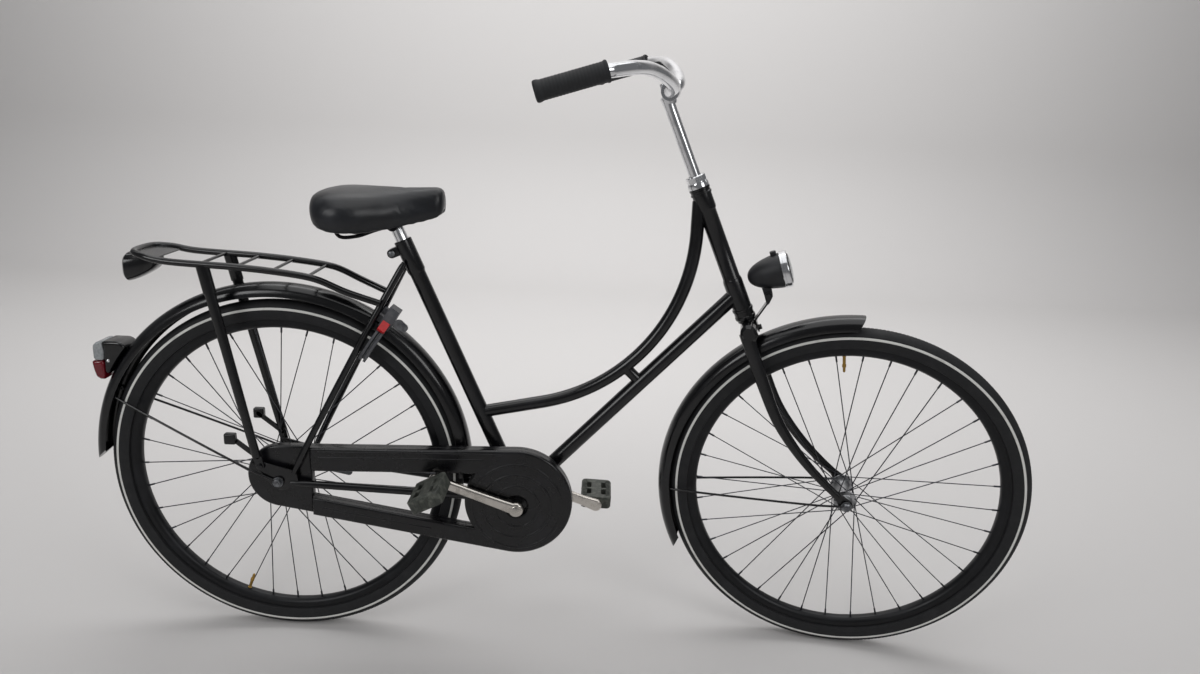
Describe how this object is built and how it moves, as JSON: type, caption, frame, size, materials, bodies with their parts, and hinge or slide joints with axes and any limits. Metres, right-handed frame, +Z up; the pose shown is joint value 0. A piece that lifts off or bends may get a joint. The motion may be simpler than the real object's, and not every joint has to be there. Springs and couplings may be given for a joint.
{
  "type": "city bicycle",
  "caption": "Step-through city bicycle with a swan-neck top tube, closed chain case, mudguards, rear rack, ring lock, headlamp and tail lamp.",
  "frame": {"origin": "on the ground below the rear axle, in the bike's middle plane", "axes": "+X forward, +Y to the rider's left, +Z up"},
  "size_m": [1.8679, 0.5889, 1.204],
  "materials": {
    "black_paint": "gloss black enamel",
    "case_black": "satin black moulded case",
    "rim_black": "black anodised",
    "tyre": "worn tread",
    "chrome": "bright plated",
    "alloy": "dull cast",
    "steel": "zinc plated",
    "grip_rubber": "soft matte",
    "saddle_vinyl": "smooth black vinyl",
    "black_plastic": "satin moulded",
    "pedal_resin": "dull moulded resin",
    "grey_plastic": "grey moulded",
    "red_plastic": "red moulded",
    "red_lens": "translucent red",
    "clear_lens": "clear"
  },
  "bodies": {
    "frame": {"head_tube": "black_paint", "swan_tube": "black_paint", "down_tube": "black_paint", "seat_tube": "black_paint", "bottom_bracket_shell": "black_paint", "chain_stay_right": "black_paint", "chain_stay_left": "black_paint", "seat_stay_right": "black_paint", "seat_stay_left": "black_paint", "seat_clamp_bolt": "steel", "chain_case_cover": "case_black", "chain_case_back": "case_black", "chain_case_end": "case_black", "rear_mudguard": "black_paint", "rear_mudguard_stay": "black_paint", "rack_frame": "black_paint", "rack_stay_right": "black_paint", "rack_stay_left": "black_paint", "rack_end_light": "black_plastic", "tail_lamp_housing": "black_plastic", "tail_lamp_lens": "red_lens", "tail_reflector": "clear_lens", "lock_body": "grey_plastic", "rear_axle": "steel", "brake_arm": "steel", "chain": "steel"},
    "fork": {"fork": "black_paint", "headset_locknut": "chrome", "front_mudguard": "black_paint", "front_mudguard_stay": "black_paint", "lamp_bracket": "black_paint", "front_axle": "steel"},
    "stem": {"stem": "chrome"},
    "handlebar": {"handlebar": "chrome", "grip_right": "grip_rubber", "grip_left": "grip_rubber"},
    "front_wheel": {"front_hub": "alloy", "front_rim": "rim_black", "front_tyre": "tyre"},
    "rear_wheel": {"rear_hub": "alloy", "rear_rim": "rim_black", "rear_tyre": "tyre"},
    "crankset": {"bottom_bracket_axle": "steel", "crank_right": "chrome", "crank_left": "chrome", "chainring": "steel"},
    "sprocket": {"rear_sprocket": "steel"},
    "pedal_right": {"pedal_right": "pedal_resin"},
    "pedal_left": {"pedal_left": "pedal_resin"},
    "lamp": {"lamp_shell": "black_plastic", "lamp_bezel": "chrome", "lamp_lens": "clear_lens"},
    "lamp_button": {"lamp_button": "black_plastic"},
    "lock_bolt": {"lock_bolt": "steel", "lock_knob": "red_plastic"},
    "lock_key": {"lock_key": "steel"},
    "seat_post": {"seat_post": "chrome"},
    "saddle": {"saddle_cover": "saddle_vinyl", "saddle_base": "black_plastic", "saddle_rails": "steel"}
  },
  "joints": [
    {"name": "steering", "type": "hinge", "parent": "frame", "child": "fork", "pos_m": [1.0747, 0, 0.32896], "axis": [-0.4035, 0, 0.915], "range_deg": [-50, 70]},
    {"name": "stem_height", "type": "slide", "parent": "fork", "child": "stem", "axis": [-0.4035, 0, 0.915], "range_m": [-0.06, 0.02]},
    {"name": "handlebar_tilt", "type": "hinge", "parent": "stem", "child": "handlebar", "pos_m": [0.73352, -0.00196, 1.12935], "axis": [0.1631, 0.984, 0.0719], "range_deg": [-20, 20]},
    {"name": "front_wheel_spin", "type": "hinge", "parent": "fork", "child": "front_wheel", "pos_m": [1.13502, -0.01195, 0.35557], "axis": [0.1631, 0.984, 0.0719], "continuous": true},
    {"name": "rear_wheel_spin", "type": "hinge", "parent": "frame", "child": "rear_wheel", "pos_m": [0, 0, 0.356], "axis": [0, 1, 0], "continuous": true},
    {"name": "crank_spin", "type": "hinge", "parent": "frame", "child": "crankset", "pos_m": [0.471, 0, 0.32], "axis": [0, 1, 0], "continuous": true},
    {"name": "sprocket_spin", "type": "hinge", "parent": "frame", "child": "sprocket", "pos_m": [0, 0, 0.356], "axis": [0, 1, 0], "continuous": true},
    {"name": "pedal_right_spin", "type": "hinge", "parent": "crankset", "child": "pedal_right", "pos_m": [0.31179, -0.129, 0.37669], "axis": [0, 1, 0], "continuous": true},
    {"name": "pedal_left_spin", "type": "hinge", "parent": "crankset", "child": "pedal_left", "pos_m": [0.63021, 0.129, 0.26331], "axis": [0, 1, 0], "continuous": true},
    {"name": "lamp_tilt", "type": "hinge", "parent": "fork", "child": "lamp", "pos_m": [0.94342, -0.00991, 0.76212], "axis": [0.1631, 0.984, 0.0719], "range_deg": [-10, 15]},
    {"name": "lamp_switch", "type": "slide", "parent": "lamp", "child": "lamp_button", "axis": [0.3268, 0.0149, -0.945], "range_m": [0, 0.002], "stiffness_N_per_m": 400},
    {"name": "lock_bolt_turn", "type": "hinge", "parent": "frame", "child": "lock_bolt", "pos_m": [0.18931, 0, 0.64202], "axis": [0.8339, 0, -0.5519], "range_deg": [0, 96]},
    {"name": "lock_key_turn", "type": "hinge", "parent": "frame", "child": "lock_key", "pos_m": [0.22089, -0.03042, 0.68973], "axis": [0.8339, 0, -0.5519], "range_deg": [0, 90]},
    {"name": "seat_post_height", "type": "slide", "parent": "frame", "child": "seat_post", "axis": [-0.4059, 0, 0.9139], "range_m": [0, 0.1]},
    {"name": "saddle_tilt", "type": "hinge", "parent": "seat_post", "child": "saddle", "pos_m": [0.22784, 0, 0.86743], "axis": [0, 1, 0], "range_deg": [-8, 8]}
  ],
  "couplings": [
    {"joint": "sprocket_spin", "follows": "crank_spin", "ratio": 2.3158}
  ]
}
